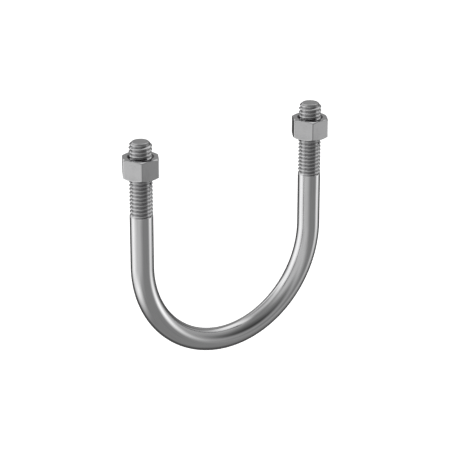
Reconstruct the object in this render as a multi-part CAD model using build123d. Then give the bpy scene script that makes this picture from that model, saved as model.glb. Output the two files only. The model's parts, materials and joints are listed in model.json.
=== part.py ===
"""Round-bend U-bolt with a hex nut on each threaded leg, for a 2 1/2 inch pipe.

Frame: the origin is on the axis of the pipe that the bolt holds, midway between the two legs,
where the half-round bend meets the straight legs. +Z runs up the legs to their threaded ends,
+X runs across the legs, and +Y is the pipe's axis. Millimetres.
"""
from build123d import *
import math
import os

INCH = 25.4

# Driving dimensions of the bent rod: 3/8"-16 UNC, right-hand thread on both legs.
ROD_DIAMETER = 3 / 8 * INCH
INSIDE_WIDTH = 2.96875 * INCH
OVERALL_HEIGHT = 3.96875 * INCH
THREAD_PITCH = INCH / 16
THREAD_TURNS = 19.75
THREAD_MAJOR_RADIUS = 4.70
END_CHAMFER = 1.35

# Direction from a leg's axis to the thread's ridge at the thread's lower end, in degrees from +X.
THREAD_CLOCK = 74

# Driving dimensions of the finished hex nut, 9/16" across flats by 21/64" high.
NUT_ACROSS_FLATS = 9 / 16 * INCH
NUT_HEIGHT = 21 / 64 * INCH
NUT_BORE_CLEARANCE = 0.10
NUT_COUNTERSINK_RADIUS = 5.15
NUT_CORNER_ANGLE = 30
NUT_SIDES = 6

# At rest each nut's underside stands this many pitches above the lower end of the thread.
NUT_REST_PITCHES = 10.5

# The 60 degree thread form: lengths are fractions of the pitch.
THREAD_FLANK_ANGLE = 30
THREAD_CREST_FLAT = 1 / 8
THREAD_DEPTH = 0.6134

# How far shapes that only cut others run past them: turns of screw, and millimetres.
SPARE_TURNS = 2
CUTTER_CLEARANCE = 1.5

# Places and sizes worked out from the dimensions above.
ROD_RADIUS = ROD_DIAMETER / 2
LEG_SPACING = INSIDE_WIDTH + ROD_DIAMETER
BEND_RADIUS = LEG_SPACING / 2
LEG_TOP = OVERALL_HEIGHT - BEND_RADIUS - ROD_RADIUS
THREAD_BOTTOM = LEG_TOP - THREAD_TURNS * THREAD_PITCH
THREAD_ROOT_RADIUS = THREAD_MAJOR_RADIUS - THREAD_DEPTH * THREAD_PITCH
NUT_UNDERSIDE = THREAD_BOTTOM + NUT_REST_PITCHES * THREAD_PITCH
NUT_BORE_RADIUS = THREAD_MAJOR_RADIUS + NUT_BORE_CLEARANCE
LEG_X = {"left": -LEG_SPACING / 2, "right": LEG_SPACING / 2}


def turned(*outline):
    """A solid turned about the Z axis from an outline of (radius, height) points."""
    return revolve(Plane.XZ * make_face(Polyline(*outline, close=True)), axis=Axis.Z)


def thread_form():
    """The ridge's four corners as (radius, height) points, then the foot of the next turn's ridge."""
    half_crest = THREAD_CREST_FLAT / 2 * THREAD_PITCH
    foot = half_crest + THREAD_DEPTH * THREAD_PITCH * math.tan(math.radians(THREAD_FLANK_ANGLE))
    return [
        (THREAD_ROOT_RADIUS, -foot),
        (THREAD_MAJOR_RADIUS, -half_crest),
        (THREAD_MAJOR_RADIUS, half_crest),
        (THREAD_ROOT_RADIUS, foot),
        (THREAD_ROOT_RADIUS, THREAD_PITCH - foot),
    ]


def helix(radius, height):
    """One turn of the thread's helix, starting over +X at a height."""
    return Pos(0, 0, height) * Edge.make_helix(THREAD_PITCH, THREAD_PITCH, radius)


def strips(edges):
    """The faces ruled between neighbouring edges."""
    return [Face.make_surface_from_curves(low, high) for low, high in zip(edges, edges[1:])]


def screw_end(height):
    """The two faces that close a screw: a ramp from the root helix to the axis, and its step."""
    foot = thread_form()[0][1]
    axis = Edge.make_line((0, 0, height), (0, 0, height + THREAD_PITCH))
    outline = [(0, 0, height)]
    outline += [(radius, 0, height - foot + rise) for radius, rise in thread_form()]
    outline += [(0, 0, height + THREAD_PITCH)]
    return strips([helix(THREAD_ROOT_RADIUS, height), axis]) + [Face(Wire.make_polygon(outline))]


def screw(turns):
    """A right-hand screw on the Z axis, with the first turn's ridge over +X at z = 0."""
    foot = thread_form()[0][1]
    faces = screw_end(foot) + screw_end(foot + turns * THREAD_PITCH)
    for turn in range(turns):
        rise = turn * THREAD_PITCH
        faces += strips([helix(radius, height + rise) for radius, height in thread_form()])
    return Solid(Shell(faces))


def threaded_leg():
    """One straight leg on the Z axis: a plain shank, then the thread up to the chamfered end."""
    shank = extrude(Circle(ROD_RADIUS), THREAD_BOTTOM)
    end_radius = THREAD_MAJOR_RADIUS - END_CHAMFER
    clear = THREAD_MAJOR_RADIUS + CUTTER_CLEARANCE
    blank = turned(
        (0, THREAD_BOTTOM),
        (clear, THREAD_BOTTOM),
        (clear, LEG_TOP - (clear - end_radius)),
        (end_radius, LEG_TOP),
        (0, LEG_TOP),
    )
    # The screw runs past both ends of the thread by at least a turn, and the blank cuts it off.
    first_ridge = Pos(0, 0, THREAD_BOTTOM - THREAD_PITCH) * Rot(0, 0, THREAD_CLOCK)
    return shank + (blank & first_ridge * screw(math.ceil(THREAD_TURNS) + SPARE_TURNS))


def u_bolt():
    """The bent rod: a half-round bend below the origin and two threaded legs above it."""
    bend = revolve(Pos(BEND_RADIUS, 0) * Circle(ROD_RADIUS), axis=Axis.Y, revolution_arc=180)
    leg = threaded_leg()
    return bend + [Pos(leg_x, 0, 0) * leg for leg_x in LEG_X.values()]


def hex_nut():
    """A hex nut on the Z axis with its underside at z = 0 and two corners along X."""
    flat_radius = NUT_ACROSS_FLATS / 2
    prism = extrude(RegularPolygon(flat_radius, NUT_SIDES, major_radius=False), NUT_HEIGHT)
    reach = flat_radius / math.cos(math.pi / NUT_SIDES) + CUTTER_CLEARANCE
    rise = (reach - flat_radius) * math.tan(math.radians(NUT_CORNER_ANGLE))
    corners_off = turned(
        (0, 0),
        (flat_radius, 0),
        (reach, rise),
        (reach, NUT_HEIGHT - rise),
        (flat_radius, NUT_HEIGHT),
        (0, NUT_HEIGHT),
    )
    sink = NUT_COUNTERSINK_RADIUS - NUT_BORE_RADIUS
    bore = turned(
        (0, 0),
        (NUT_COUNTERSINK_RADIUS, 0),
        (NUT_BORE_RADIUS, sink),
        (NUT_BORE_RADIUS, NUT_HEIGHT - sink),
        (NUT_COUNTERSINK_RADIUS, NUT_HEIGHT),
        (0, NUT_HEIGHT),
    )
    return (prism & corners_off) - bore


def write(part, node):
    """Write one sub-part's STEP file."""
    part.label = node
    export_step(part, os.path.join("parts", node + ".step"))


os.makedirs("parts", exist_ok=True)
write(u_bolt(), "u_bolt")
nut = hex_nut()
for side, leg_x in LEG_X.items():
    write(Pos(leg_x, 0, NUT_UNDERSIDE) * nut, "nut_" + side)
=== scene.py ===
"""Looks of a round-bend U-bolt with two hex nuts: steel meshes, studio light and camera.

All lengths are metres in the CAD frame: +Z up the legs, +X across them, +Y along the pipe.
"""
import json
import math

import bmesh
import bpy
from mathutils import Matrix, Vector


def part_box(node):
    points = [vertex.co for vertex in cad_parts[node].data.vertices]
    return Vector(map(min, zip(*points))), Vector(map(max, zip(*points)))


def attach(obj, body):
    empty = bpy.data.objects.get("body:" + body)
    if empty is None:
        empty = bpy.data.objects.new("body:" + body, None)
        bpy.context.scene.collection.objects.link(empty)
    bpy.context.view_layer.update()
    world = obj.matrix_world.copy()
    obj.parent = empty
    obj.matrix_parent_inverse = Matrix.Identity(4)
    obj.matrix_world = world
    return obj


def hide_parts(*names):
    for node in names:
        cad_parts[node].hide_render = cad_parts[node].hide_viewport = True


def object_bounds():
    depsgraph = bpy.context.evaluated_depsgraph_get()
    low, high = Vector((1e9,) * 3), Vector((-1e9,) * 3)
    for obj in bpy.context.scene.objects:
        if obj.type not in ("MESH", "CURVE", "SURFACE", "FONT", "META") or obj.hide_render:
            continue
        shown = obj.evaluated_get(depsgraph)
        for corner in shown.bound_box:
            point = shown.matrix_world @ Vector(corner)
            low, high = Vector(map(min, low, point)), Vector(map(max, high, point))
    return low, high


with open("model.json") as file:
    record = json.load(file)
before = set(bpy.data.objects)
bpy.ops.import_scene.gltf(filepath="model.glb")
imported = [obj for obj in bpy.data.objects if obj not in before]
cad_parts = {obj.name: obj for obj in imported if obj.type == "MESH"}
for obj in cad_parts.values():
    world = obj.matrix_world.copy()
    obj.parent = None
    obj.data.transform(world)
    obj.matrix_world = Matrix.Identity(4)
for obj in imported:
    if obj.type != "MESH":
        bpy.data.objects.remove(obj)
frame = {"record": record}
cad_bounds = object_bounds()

MM = 0.001
TURN = 2 * math.pi

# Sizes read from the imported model.
MOUNTS = {mount["name"]: mount for mount in frame["record"]["mounts"]}
LEG_SPACING = MOUNTS["legs"]["dims"]["spacing_x_mm"] * MM
ROD_RADIUS = MOUNTS["legs"]["dims"]["stud_r_mm"] * MM
BEND_RADIUS = LEG_SPACING / 2
LEG_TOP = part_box("u_bolt")[1][2]
LEG_X = {"left": -LEG_SPACING / 2, "right": LEG_SPACING / 2}
NUT_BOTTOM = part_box("nut_left")[0][2]
NUT_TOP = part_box("nut_left")[1][2]
NUT_FLAT_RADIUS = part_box("nut_left")[1][1]

# The right-hand 3/8 inch thread of 16 turns to the inch, as in the CAD model.
PITCH = 25.4 * MM / 16
THREAD_TURNS = 19.75
THREAD_BOTTOM = LEG_TOP - THREAD_TURNS * PITCH
THREAD_CLOCK = math.radians(74)
CREST_RADIUS = 4.70 * MM
THREAD_DEPTH = 0.6134 * PITCH
CREST_HALF_FLAT = PITCH / 16
FLANK_SLOPE = 1 / math.tan(math.radians(30))
END_CHAMFER = 1.35 * MM

# The nuts' inside thread and the shape of their edges.
NUT_CREST_RADIUS = 4.02 * MM
NUT_GROOVE_RADIUS = 4.80 * MM
NUT_SINK_RADIUS = 5.15 * MM
NUT_FACE_RADIUS = 7.10 * MM
NUT_CORNER_ROUNDING = 0.55 * MM
NUT_CORNER_SLOPE = math.tan(math.radians(30))
EDGE_BREAK = 0.10 * MM

# How softly the threads turn over, and how far out the nut's flanks stand from the rod's.
ROD_ROOT_BLEND = 0.22 * MM
ROD_CREST_BLEND = 0.06 * MM
NUT_THREAD_BLEND = 0.12 * MM
NUT_SINK_BLEND = 0.06 * MM
NUT_FLANK_CLEARANCE = 0.16 * MM

# Threads are cut off this far inside the leg's end and the nut's faces, where the rings take over.
LEG_END_CUT = 0.10 * MM
NUT_FACE_CUT = 0.07 * MM

# The shoulder where the shank meets the thread: drop below it and radius of each ring.
SHOULDER_RINGS = (
    (0.15 * MM, ROD_RADIUS),
    (0.05 * MM, ROD_RADIUS - 0.012 * MM),
    (0, 4.715 * MM),
)
# A leg's flat end: inset from the chamfer's rim and drop below the end of each ring.
LEG_END_RINGS = (
    (-0.04 * MM, 0.055 * MM), (0.03 * MM, 0.015 * MM), (0.12 * MM, 0),
    (0.3 * MM, 0), (1.2 * MM, 0), (2.6 * MM, 0),
)

# How finely the meshes are divided.
RING_POINTS = 80
BEND_STEPS = 120
SHANK_PLACES = (0.25, 0.5, 0.75, 0.97)
# Row places along one pitch of thread, measured in pitches from the crest's middle.
THREAD_ROWS = (
    -0.5, -0.455, -0.41, -0.36, -0.24, -0.12, -0.075, -0.04,
    0.0, 0.04, 0.075, 0.12, 0.24, 0.36, 0.41, 0.455,
)
# Column places along one flat of a nut, as shares of the flat's length.
FLAT_PLACES = (0.03, 0.09, 0.18, 0.28, 0.39, 0.5, 0.61, 0.72, 0.82, 0.91, 0.97)


# ---------------------------------------------------------------- thread form

def smooth_min(a, b, blend):
    """The smaller of two lengths, with a rounded change-over."""
    share = max(blend - abs(a - b), 0.0) / blend
    return min(a, b) - share * share * blend / 4


def smooth_max(a, b, blend):
    """The larger of two lengths, with a rounded change-over."""
    return -smooth_min(-a, -b, blend)


def flank_radius(pitches):
    """The radius of the rod's thread flank, run on past crest and root, by pitches from a crest."""
    along = abs(pitches - round(pitches)) * PITCH
    return CREST_RADIUS - (along - CREST_HALF_FLAT) * FLANK_SLOPE


def rod_thread_radius(pitches, z):
    """The rod's thread: its radius by pitches from a crest, chamfered at the leg's end."""
    thread = smooth_max(flank_radius(pitches), CREST_RADIUS - THREAD_DEPTH, ROD_ROOT_BLEND)
    thread = smooth_min(thread, CREST_RADIUS, ROD_CREST_BLEND)
    return smooth_min(thread, CREST_RADIUS - END_CHAMFER + LEG_TOP - z, ROD_CREST_BLEND)


def nut_thread_radius(pitches, z):
    """The nut's thread, in step with the rod's and just clear of it, countersunk at both ends."""
    flank = flank_radius(pitches) + NUT_FLANK_CLEARANCE
    thread = smooth_max(flank, NUT_CREST_RADIUS, NUT_THREAD_BLEND)
    thread = smooth_min(thread, NUT_GROOVE_RADIUS, NUT_THREAD_BLEND)
    sink = NUT_SINK_RADIUS - min(NUT_TOP - z, z - NUT_BOTTOM)
    return smooth_max(thread, sink, NUT_SINK_BLEND)


# ---------------------------------------------------------------- mesh helpers

def helical_strip(mesh, centre_x, bottom, top, radius_at):
    """A thread about a leg's axis whose rows follow the helix, from below bottom to above top."""
    first = math.floor((bottom - THREAD_BOTTOM) / PITCH) - 2
    last = math.ceil((top - THREAD_BOTTOM) / PITCH) + 1
    rows = []
    for turn in range(first, last + 1):
        for place in THREAD_ROWS:
            row = []
            for i in range(RING_POINTS):
                share = i / RING_POINTS
                z = THREAD_BOTTOM + PITCH * (turn + place + share)
                radius = radius_at(place, z)
                angle = TURN * share + THREAD_CLOCK
                point = (centre_x + radius * math.cos(angle), radius * math.sin(angle), z)
                row.append(mesh.verts.new(point))
            rows.append(row)
    for low, high, low_next, high_next in zip(rows, rows[1:], rows[len(THREAD_ROWS):],
                                              rows[len(THREAD_ROWS) + 1:]):
        low, high = low + low_next[:1], high + high_next[:1]
        for i in range(RING_POINTS):
            mesh.faces.new((low[i], low[i + 1], high[i + 1], high[i]))


def cut_flat(mesh, height, keep_above):
    """Cuts everything so far at a height; returns the vertices on the cut."""
    cut = bmesh.ops.bisect_plane(
        mesh, geom=[*mesh.verts, *mesh.edges, *mesh.faces], dist=1e-9,
        plane_co=(0, 0, height), plane_no=(0, 0, 1),
        clear_inner=keep_above, clear_outer=not keep_above)
    return [item for item in cut["geom_cut"] if isinstance(item, bmesh.types.BMVert)]


def ring(mesh, centre, across, radius):
    """A ring of vertices about centre, in the plane of across and Y."""
    side = Vector((0, 1, 0))
    angles = [TURN * i / RING_POINTS for i in range(RING_POINTS)]
    return [mesh.verts.new(centre + radius * (across * math.cos(a) + side * math.sin(a)))
            for a in angles]


def bridge(mesh, low, high):
    """Faces between two rings with as many vertices each."""
    for i in range(len(low)):
        mesh.faces.new((low[i - 1], low[i], high[i], high[i - 1]))


def zip_rings(mesh, low, high, centre_x):
    """Triangles between two rings of any number of vertices, matched by angle about a leg."""
    def angle(vertex):
        return math.atan2(vertex.co.y, vertex.co.x - centre_x) % TURN

    low, high = sorted(low, key=angle), sorted(high, key=angle)
    low_angles = [angle(vertex) for vertex in low] + [angle(low[0]) + TURN, 3 * TURN]
    high_angles = [angle(vertex) for vertex in high] + [angle(high[0]) + TURN, 3 * TURN]
    low, high = low + low[:1], high + high[:1]
    i = j = 0
    while i + 1 < len(low) or j + 1 < len(high):
        if low_angles[i + 1] <= high_angles[j + 1]:
            mesh.faces.new((low[i], low[i + 1], high[j]))
            i += 1
        else:
            mesh.faces.new((low[i], high[j + 1], high[j]))
            j += 1


def smooth_object(mesh, name, material):
    """An object in the scene from a mesh, smooth shaded."""
    data = bpy.data.meshes.new(name)
    mesh.to_mesh(data)
    mesh.free()
    data.polygons.foreach_set("use_smooth", [True] * len(data.polygons))
    data.materials.append(material)
    made = bpy.data.objects.new(name, data)
    bpy.context.scene.collection.objects.link(made)
    return made


def finished(mesh, name, grain_at, material):
    """A steel piece from a mesh, with each point's place in the grain kept for its finish."""
    bmesh.ops.recalc_face_normals(mesh, faces=mesh.faces)
    piece = smooth_object(mesh, name, material)
    grain = piece.data.attributes.new("grain", "FLOAT_VECTOR", "POINT")
    places = [number for vertex in piece.data.vertices for number in grain_at(vertex.co)]
    grain.data.foreach_set("vector", places)
    return piece


# ---------------------------------------------------------------- the bent rod

def rod_stations():
    """Centre, outward direction and radius of each ring below the threads, left leg to right."""
    rows = [(THREAD_BOTTOM * place, ROD_RADIUS) for place in SHANK_PLACES]
    rows += [(THREAD_BOTTOM - drop, radius) for drop, radius in SHOULDER_RINGS]
    left = [(Vector((-BEND_RADIUS, 0, z)), Vector((-1, 0, 0)), r) for z, r in reversed(rows)]
    right = [(Vector((BEND_RADIUS, 0, z)), Vector((1, 0, 0)), r) for z, r in rows]
    bend = []
    for step in range(BEND_STEPS + 1):
        angle = math.pi * (1 + step / BEND_STEPS)
        outward = Vector((math.cos(angle), 0, math.sin(angle)))
        bend.append((outward * BEND_RADIUS, outward, ROD_RADIUS))
    return left + bend + right


def rod_grain(point):
    """Place in the rod's section, outward and along Y, and the length along the rod from its middle."""
    if point.z > 0:
        side = math.copysign(1, point.x)
        return (abs(point.x) - BEND_RADIUS, point.y,
                side * (BEND_RADIUS * math.pi / 2 + point.z))
    outward = math.hypot(point.x, point.z) - BEND_RADIUS
    return (outward, point.y, BEND_RADIUS * math.atan2(point.x, -point.z))


def leg_end(mesh, centre_x, cut):
    """The flat end of a leg inside its chamfer, with a small edge break."""
    across = Vector((1, 0, 0))
    chamfer = CREST_RADIUS - END_CHAMFER
    rings = []
    for inset, drop in LEG_END_RINGS:
        centre = Vector((centre_x, 0, LEG_TOP - drop))
        rings.append(ring(mesh, centre, across, chamfer - inset))
    zip_rings(mesh, cut, rings[0], centre_x)
    for outer, inner in zip(rings, rings[1:]):
        bridge(mesh, outer, inner)
    mesh.faces.new(rings[-1])


def bent_rod(material):
    """The whole rod in one closed mesh: two threaded legs and the half-round bend."""
    mesh = bmesh.new()
    for leg_x in LEG_X.values():
        helical_strip(mesh, leg_x, THREAD_BOTTOM, LEG_TOP, rod_thread_radius)
    shoulders = cut_flat(mesh, THREAD_BOTTOM, keep_above=True)
    ends = cut_flat(mesh, LEG_TOP - LEG_END_CUT, keep_above=False)
    rings = [ring(mesh, *station) for station in rod_stations()]
    for low, high in zip(rings, rings[1:]):
        bridge(mesh, low, high)
    for leg_x, outer in zip(LEG_X.values(), (rings[0], rings[-1])):
        own = [vertex for vertex in shoulders if vertex.co.x * leg_x > 0]
        zip_rings(mesh, own, outer, leg_x)
        leg_end(mesh, leg_x, [vertex for vertex in ends if vertex.co.x * leg_x > 0])
    return finished(mesh, "bent_rod", rod_grain, material)


# ---------------------------------------------------------------- the nuts

def nut_outline():
    """The nut's outline seen from above: a hexagon with rounded corners, two of them along X."""
    reach = (NUT_FLAT_RADIUS - NUT_CORNER_ROUNDING) / math.cos(math.radians(30))
    corners = []
    for corner in range(6):
        centre = Vector((reach, 0)) @ rotation(corner * TURN / 6)
        arc = [Vector((NUT_CORNER_ROUNDING, 0)) @ rotation(TURN / 6 * (corner + step / 4))
               for step in (-2, -1, 0, 1, 2)]
        corners.append([centre + point for point in arc])
    outline = []
    for here, following in zip(corners, corners[1:] + corners[:1]):
        outline += here
        outline += [here[-1].lerp(following[0], place) for place in FLAT_PLACES]
    return outline


def rotation(angle):
    """A 2-D rotation that turns a row vector anticlockwise."""
    return Matrix(((math.cos(angle), math.sin(angle)), (-math.sin(angle), math.cos(angle))))


def nut_profile(reach):
    """Half of the nut's section from countersink to mid height: (radius, depth below the face)."""
    circles = [(NUT_SINK_RADIUS - 0.035 * MM, 0.03 * MM), (NUT_SINK_RADIUS + 0.03 * MM, 0)]
    circles += [(NUT_SINK_RADIUS + 0.15 * MM, 0), (6.2 * MM, 0), (NUT_FACE_RADIUS - 0.12 * MM, 0)]
    circles += [(NUT_FACE_RADIUS - 0.01 * MM, 0.004 * MM)]
    cone_start = NUT_FACE_RADIUS + 0.04 * MM
    cone_end = reach - EDGE_BREAK * 0.9
    for share in (0, 0.5, 1):
        radius = cone_start + (cone_end - cone_start) * share
        circles.append((radius, (radius - NUT_FACE_RADIUS) * NUT_CORNER_SLOPE))
    edge = (reach - NUT_FACE_RADIUS) * NUT_CORNER_SLOPE
    circles += [(reach - 0.2 * EDGE_BREAK, edge + 0.2 * EDGE_BREAK), (reach, edge + EDGE_BREAK)]
    circles += [(reach, edge + 4 * EDGE_BREAK)]
    return circles


def hex_nut(side, material):
    """A finished hex nut on its leg: chamfered hexagon outside, countersunk thread inside."""
    leg_x = LEG_X[side]
    mesh = bmesh.new()
    helical_strip(mesh, leg_x, NUT_BOTTOM, NUT_TOP, nut_thread_radius)
    lower = cut_flat(mesh, NUT_BOTTOM + NUT_FACE_CUT, keep_above=True)
    upper = cut_flat(mesh, NUT_TOP - NUT_FACE_CUT, keep_above=False)
    columns = []
    for point in nut_outline():
        half = nut_profile(point.length)
        rows = [(radius, NUT_TOP - depth) for radius, depth in half]
        rows += [(point.length, (NUT_TOP + NUT_BOTTOM) / 2)]
        rows += [(radius, NUT_BOTTOM + depth) for radius, depth in reversed(half)]
        outward = point.normalized()
        columns.append([mesh.verts.new((leg_x + outward.x * r, outward.y * r, z)) for r, z in rows])
    rings = list(zip(*columns))
    for low, high in zip(rings, rings[1:]):
        bridge(mesh, low, high)
    zip_rings(mesh, upper, rings[0], leg_x)
    zip_rings(mesh, lower, rings[-1], leg_x)
    return finished(mesh, "hex_nut_" + side,
                    lambda point: (point.x - leg_x, point.y, point.z - NUT_BOTTOM), material)


# ---------------------------------------------------------------- finishes

class Finish:
    """A node material in the making: short names for the few kinds of node that the steels use."""

    def __init__(self, name):
        self.material = bpy.data.materials.new(name)
        self.material.use_nodes = True
        self.nodes = self.material.node_tree.nodes
        self.links = self.material.node_tree.links
        self.shader = self.nodes["Principled BSDF"]
        self.shader.inputs["Metallic"].default_value = 1.0
        self.grain = self.node("ShaderNodeAttribute", attribute_name="grain").outputs["Vector"]

    def node(self, kind, **settings):
        made = self.nodes.new(kind)
        for setting, value in settings.items():
            setattr(made, setting, value)
        return made

    def feed(self, socket, value):
        if isinstance(value, bpy.types.NodeSocket):
            self.links.new(value, socket)
        else:
            socket.default_value = value

    def maths(self, operation, *values):
        made = self.node("ShaderNodeMath", operation=operation)
        for socket, value in zip(made.inputs, values):
            self.feed(socket, value)
        return made.outputs[0]

    def noise(self, cells_per_metre, detail=3.0, place=None):
        """Noise with a number of cells per metre along each axis of the grain, or of a place."""
        scaled = self.node("ShaderNodeVectorMath", operation="MULTIPLY")
        self.feed(scaled.inputs[0], self.grain if place is None else place)
        self.feed(scaled.inputs[1], cells_per_metre)
        made = self.node("ShaderNodeTexNoise")
        self.feed(made.inputs["Vector"], scaled.outputs[0])
        made.inputs["Scale"].default_value = 1.0
        made.inputs["Detail"].default_value = detail
        return made.outputs[0]

    def span(self, value, low, high, low_result, high_result, smooth=False):
        """Maps value from low..high to low_result..high_result, held level outside."""
        made = self.node("ShaderNodeMapRange")
        made.interpolation_type = "SMOOTHSTEP" if smooth else "LINEAR"
        for socket, number in zip(made.inputs, (value, low, high, low_result, high_result)):
            self.feed(socket, number)
        return made.outputs[0]

    def radius(self):
        """Distance from the leg's axis, or from the middle of the bent rod."""
        flat = self.node("ShaderNodeVectorMath", operation="MULTIPLY")
        self.feed(flat.inputs[0], self.grain)
        flat.inputs[1].default_value = (1, 1, 0)
        length = self.node("ShaderNodeVectorMath", operation="LENGTH")
        self.feed(length.inputs[0], flat.outputs[0])
        return length.outputs["Value"]

    def colour(self, shade, dark, light):
        """A colour between dark and light by a shade from 0 to 1."""
        made = self.node("ShaderNodeMix", data_type="RGBA")
        self.feed(made.inputs["Factor"], shade)
        self.feed(made.inputs["A"], (*dark, 1))
        self.feed(made.inputs["B"], (*light, 1))
        self.feed(self.shader.inputs["Base Color"], made.outputs["Result"])

    def bump(self, height, depth):
        """Relief of a depth in metres."""
        made = self.node("ShaderNodeBump")
        made.inputs["Distance"].default_value = depth
        self.feed(made.inputs["Height"], height)
        self.feed(self.shader.inputs["Normal"], made.outputs["Normal"])


# Colours of the steel, with painted shade for the thread roots and for the nut's bore and the face
# round it, and how deep its fine streaks and rings are.
BRIGHT_STEEL = (0.63, 0.63, 0.635)
THREAD_ROOT_PAINTED_SHADE_COLOUR = (0.36, 0.36, 0.363)
BORE_PAINTED_SHADE_COLOUR = (0.05, 0.05, 0.051)
RELIEF = 0.002 * MM

# Radii from a leg's axis between which the painted shade changes: from the thread's darkened roots
# to its crests, at the rim of a leg's flat end, which is left unshaded, and from the nut's bore to its
# face.
THREAD_SHADE = (3.75 * MM, 4.45 * MM)
LEG_END_SHADE = (3.45 * MM, 3.60 * MM)
BORE_SHADE = (5.1 * MM, 5.7 * MM)


def rod_steel():
    """Bright drawn steel: streaks along the rod, duller down in the threads, and painted shade
    darkening the thread roots.
    """
    steel = Finish("drawn_steel")
    streaks = steel.noise((2600, 2600, 45), detail=4.0)
    mottle = steel.noise((160, 160, 90))
    radius = steel.radius()
    # Painted shade: the colour darkens from the crests down into the thread roots.
    crests = steel.span(radius, *THREAD_SHADE, 0.0, 1.0, smooth=True)
    leg_ends = steel.span(radius, *LEG_END_SHADE, 1.0, 0.0, smooth=True)
    bright = steel.maths("MAXIMUM", crests, leg_ends)
    shade = steel.maths("ADD", steel.span(streaks, 0.3, 0.7, -0.16, 0.16), bright)
    steel.colour(steel.maths("ADD", shade, steel.span(mottle, 0.3, 0.7, -0.10, 0.10)),
                 THREAD_ROOT_PAINTED_SHADE_COLOUR, BRIGHT_STEEL)
    gloss = steel.maths("ADD", steel.span(streaks, 0.3, 0.7, -0.03, 0.03),
                        steel.span(mottle, 0.3, 0.7, 0.09, 0.13))
    wear = steel.maths("MULTIPLY", steel.maths("SUBTRACT", 1.0, bright), 0.08)
    steel.feed(steel.shader.inputs["Roughness"], steel.maths("ADD", gloss, wear))
    steel.bump(streaks, RELIEF)
    return steel.material


def nut_steel():
    """Machined steel: fine turned rings round the axis, and painted shade and painted reflection, dark
    in and round the bore.
    """
    steel = Finish("machined_steel")
    turned = steel.node("ShaderNodeCombineXYZ")
    radius = steel.radius()
    height = steel.node("ShaderNodeSeparateXYZ")
    steel.feed(height.inputs[0], steel.grain)
    steel.feed(turned.inputs["X"], radius)
    steel.feed(turned.inputs["Z"], height.outputs["Z"])
    lines = steel.noise((6000, 6000, 6000), detail=2.0, place=turned.outputs[0])
    mottle = steel.noise((220, 220, 220))
    # Painted shade and painted reflection: the colour darkens in the bore and on the faces close round
    # it.
    inside = steel.span(radius, *BORE_SHADE, 0.0, 1.0, smooth=True)
    shade = steel.maths("ADD", steel.span(mottle, 0.3, 0.7, -0.10, 0.10), inside)
    steel.colour(steel.maths("ADD", shade, steel.span(lines, 0.3, 0.7, -0.08, 0.08)),
                 BORE_PAINTED_SHADE_COLOUR, BRIGHT_STEEL)
    gloss = steel.span(mottle, 0.3, 0.7, 0.08, 0.12)
    steel.feed(steel.shader.inputs["Roughness"],
               steel.maths("ADD", gloss, steel.span(lines, 0.3, 0.7, -0.03, 0.03)))
    steel.bump(lines, RELIEF)
    return steel.material


# ---------------------------------------------------------------- studio

# The studio's lights and dark screens, in the order they are laid over each other. Each is a
# direction from the object (azimuth, elevation), half a width and half a height, how soft its
# edges are sideways and upwards, all in degrees, and its brightness. Azimuth 0 is on the -Y
# side and 90 on the +X side.
STUDIO_BASE = 0.30
STUDIO = (
    ("band at the horizon", -15, 5, 130, 10, 15, 10, 0.70),
    ("dark in front", 30, 25, 35, 20, 25, 30, 0.05),
    ("front left fill", -60, 15, 25, 45, 20, 20, 0.70),
    ("tall strip at the left", -125, 10, 25, 45, 25, 20, 1.45),
    ("low light at the left", -100, -40, 30, 10, 25, 20, 1.50),
    ("light behind", 160, 0, 15, 40, 25, 15, 0.60),
    ("high window at the right", 120, 55, 30, 20, 20, 15, 1.50),
    ("fill at the right", 80, 20, 25, 60, 30, 10, 0.50),
    ("low box at the right", 60, -15, 15, 10, 15, 10, 1.60),
    ("dark below at the right", 90, -50, 20, 25, 25, 15, 0.15),
    ("light above", 180, 65, 80, 5, 30, 30, 1.00),
    ("bar behind at the left", -170, 25, 30, 5, 15, 10, 1.50),
)
# A round dark screen behind the object draws thin dark edges round the metal: azimuth,
# elevation, radius and edge in degrees, and brightness. A grey card over it lights flat tops.
DARK_SCREEN = (145, -25, 55, 5, 0.10)
GREY_CARD = ("card above the back", 145, 10, 30, 15, 15, 5, 0.35)


def facing(azimuth, elevation):
    """The direction at an azimuth and elevation in degrees."""
    azimuth, elevation = math.radians(azimuth), math.radians(elevation)
    return Vector((math.sin(azimuth) * math.cos(elevation),
                   -math.cos(azimuth) * math.cos(elevation), math.sin(elevation)))


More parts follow.
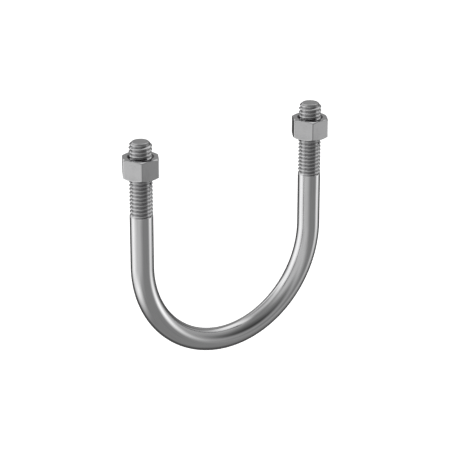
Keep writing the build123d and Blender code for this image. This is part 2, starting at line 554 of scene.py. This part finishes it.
def studio_light():
    """A world of soft boxes about the object, as a studio shows in polished metal."""
    world = bpy.data.worlds.new("studio")
    world.use_nodes = True
    bpy.context.scene.world = world
    tree = world.node_tree

    def link(value, socket):
        if isinstance(value, bpy.types.NodeSocket):
            tree.links.new(value, socket)
        else:
            socket.default_value = value

    def maths(operation, *values):
        made = tree.nodes.new("ShaderNodeMath")
        made.operation = operation
        for value, socket in zip(values, made.inputs):
            link(value, socket)
        return made.outputs[0]

    def within(off, half, edge):
        """1 less than half a width off the middle and 0 outside, with a soft edge."""
        made = tree.nodes.new("ShaderNodeMapRange")
        made.interpolation_type = "SMOOTHSTEP"
        for value, socket in zip((off, half - edge, half + edge, 1, 0), made.inputs):
            link(value, socket)
        return made.outputs[0]

    def inside(angle, middle, half, edge):
        """The same for an angle and its middle, the short way round the circle."""
        off = maths("ABSOLUTE", maths("SUBTRACT", angle, middle))
        return within(maths("MINIMUM", off, maths("ABSOLUTE", maths("SUBTRACT", 360, off))),
                      half, edge)

    def mix(share, before, after):
        mixed = tree.nodes.new("ShaderNodeMix")
        for value, socket in zip((share, before, after), (mixed.inputs[0], *mixed.inputs[2:4])):
            link(value, socket)
        return mixed.outputs[0]

    towards = tree.nodes.new("ShaderNodeTexCoord").outputs["Generated"]
    direction = tree.nodes.new("ShaderNodeSeparateXYZ")
    link(towards, direction.inputs[0])
    x, y, z = direction.outputs
    azimuth = maths("DEGREES", maths("ARCTAN2", x, maths("MULTIPLY", y, -1)))
    elevation = maths("DEGREES", maths("ARCSINE", z))

    def add_box(light, box):
        _, box_azimuth, box_elevation, width, height, side_edge, top_edge, brightness = box
        share = maths("MULTIPLY", inside(azimuth, box_azimuth, width, side_edge),
                      inside(elevation, box_elevation, height, top_edge))
        return mix(share, light, brightness)

    light = STUDIO_BASE
    for box in STUDIO:
        light = add_box(light, box)
    screen_azimuth, screen_elevation, radius, edge, brightness = DARK_SCREEN
    off_screen = tree.nodes.new("ShaderNodeVectorMath")
    off_screen.operation = "DOT_PRODUCT"
    link(towards, off_screen.inputs[0])
    link(facing(screen_azimuth, screen_elevation), off_screen.inputs[1])
    off = maths("DEGREES", maths("ARCCOSINE", off_screen.outputs["Value"]))
    light = mix(within(off, radius, edge), light, brightness)
    light = add_box(light, GREY_CARD)
    link(light, tree.nodes["Background"].inputs["Strength"])
    tree.nodes["Background"].inputs["Color"].default_value = (1, 1, 1, 1)


# The floor is a bowl below the object: flat rings, a rounded cove, and a wall.
FLOOR_DROP = 100 * MM
FLOOR_RADII = (0.05, 0.25, 0.5, 1.0, 1.5)
COVE_RADIUS = 1.0
COVE_STEPS = 12
WALL_HEIGHT = 4.0
FLOOR_POINTS = 96


def pale_floor():
    """A pale floor that curves up into a wall all round; the steel doesn't mirror it."""
    floor_z = cad_bounds[0][2] - FLOOR_DROP
    rows = [(radius, floor_z) for radius in FLOOR_RADII]
    for step in range(1, COVE_STEPS + 1):
        angle = TURN / 4 * step / COVE_STEPS
        rows.append((FLOOR_RADII[-1] + COVE_RADIUS * math.sin(angle),
                     floor_z + COVE_RADIUS * (1 - math.cos(angle))))
    rows.append((FLOOR_RADII[-1] + COVE_RADIUS, floor_z + WALL_HEIGHT))
    mesh = bmesh.new()
    rings = []
    for radius, z in rows:
        angles = [TURN * i / FLOOR_POINTS for i in range(FLOOR_POINTS)]
        rings.append([mesh.verts.new((radius * math.cos(a), radius * math.sin(a), z))
                      for a in angles])
    for low, high in zip(rings, rings[1:]):
        bridge(mesh, low, high)
    mesh.faces.new(reversed(rings[0]))
    paper = bpy.data.materials.new("pale_paper")
    paper.use_nodes = True
    shader = paper.node_tree.nodes["Principled BSDF"]
    shader.inputs["Base Color"].default_value = (0.9, 0.9, 0.9, 1)
    shader.inputs["Roughness"].default_value = 0.9
    shader.inputs["Emission Color"].default_value = (1, 1, 1, 1)
    shader.inputs["Emission Strength"].default_value = 0.75
    floor = smooth_object(mesh, "pale_floor", paper)
    floor.visible_glossy = False
    floor.visible_diffuse = False
    floor.visible_shadow = False


# The camera's direction from the origin in degrees, its distance, its lens and sensor in
# millimetres, and how far it aims to the right of the origin and above it, as it sees them.
CAMERA_AZIMUTH = -35.6
CAMERA_ELEVATION = 22.3
CAMERA_DISTANCE = 0.80
CAMERA_LENS = 153.5
CAMERA_SENSOR = 36
AIM_RIGHT = -1.1 * MM
AIM_UP = 7.6 * MM


def camera():
    """A long lens from the front left, a little above."""
    back = facing(CAMERA_AZIMUTH, CAMERA_ELEVATION)
    across = math.radians(CAMERA_AZIMUTH)
    right = Vector((math.cos(across), math.sin(across), 0))
    up = back.cross(right)
    aim = right * AIM_RIGHT + up * AIM_UP
    data = bpy.data.cameras.new("camera")
    data.lens = CAMERA_LENS
    data.sensor_width = CAMERA_SENSOR
    made = bpy.data.objects.new("camera", data)
    made.location = back * CAMERA_DISTANCE
    made.rotation_mode = "QUATERNION"
    made.rotation_quaternion = (aim - made.location).to_track_quat("-Z", "Y")
    bpy.context.scene.collection.objects.link(made)
    bpy.context.scene.camera = made


# ---------------------------------------------------------------- the scene

rod = bent_rod(rod_steel())
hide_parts("u_bolt")
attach(rod, "bolt")
machined = nut_steel()
for side in LEG_X:
    nut = hex_nut(side, machined)
    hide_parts("nut_" + side)
    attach(nut, "nut_" + side)

studio_light()
pale_floor()
camera()
bpy.context.scene.view_settings.view_transform = "Standard"
